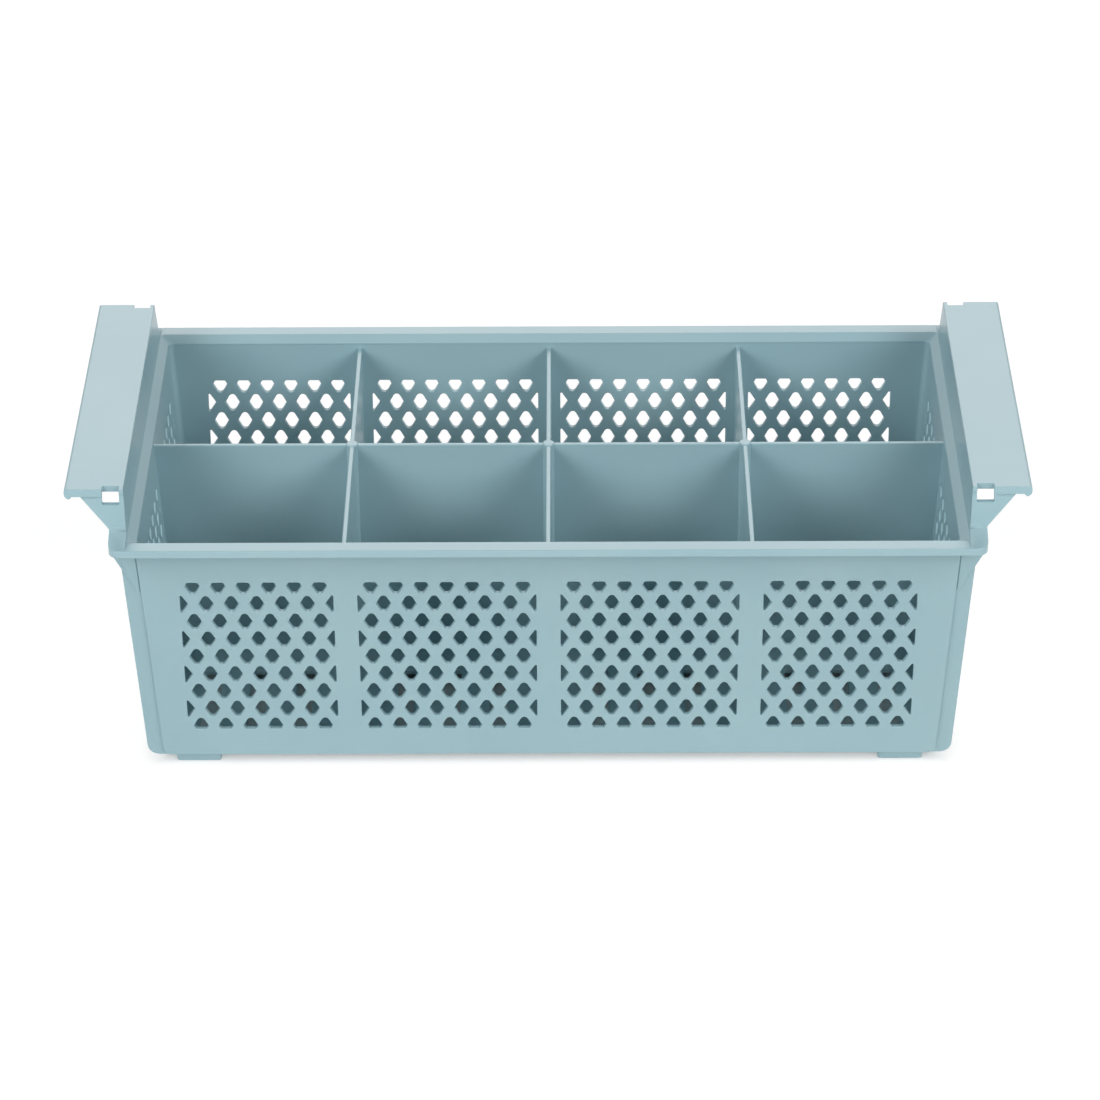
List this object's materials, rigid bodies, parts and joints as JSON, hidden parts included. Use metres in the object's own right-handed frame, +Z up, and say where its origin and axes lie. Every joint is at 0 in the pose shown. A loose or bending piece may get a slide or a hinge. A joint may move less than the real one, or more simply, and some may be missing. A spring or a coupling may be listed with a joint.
{
  "type": "dishwasher cutlery basket",
  "caption": "Open-topped moulded basket that holds cutlery upright in a dishwasher rack, with perforated walls, crossed dividers, a flared rim and an open-bottomed grip at each end.",
  "frame": {"origin": "middle of the basket's outline, on the surface that its feet stand on", "axes": "+X along the basket towards one grip, +Y across it, +Z up"},
  "size_m": [0.4336, 0.2088, 0.1482],
  "materials": {
    "polypropylene": "satin, finely textured as moulded"
  },
  "bodies": {
    "root": {"basket": "polypropylene"}
  },
  "joints": []
}
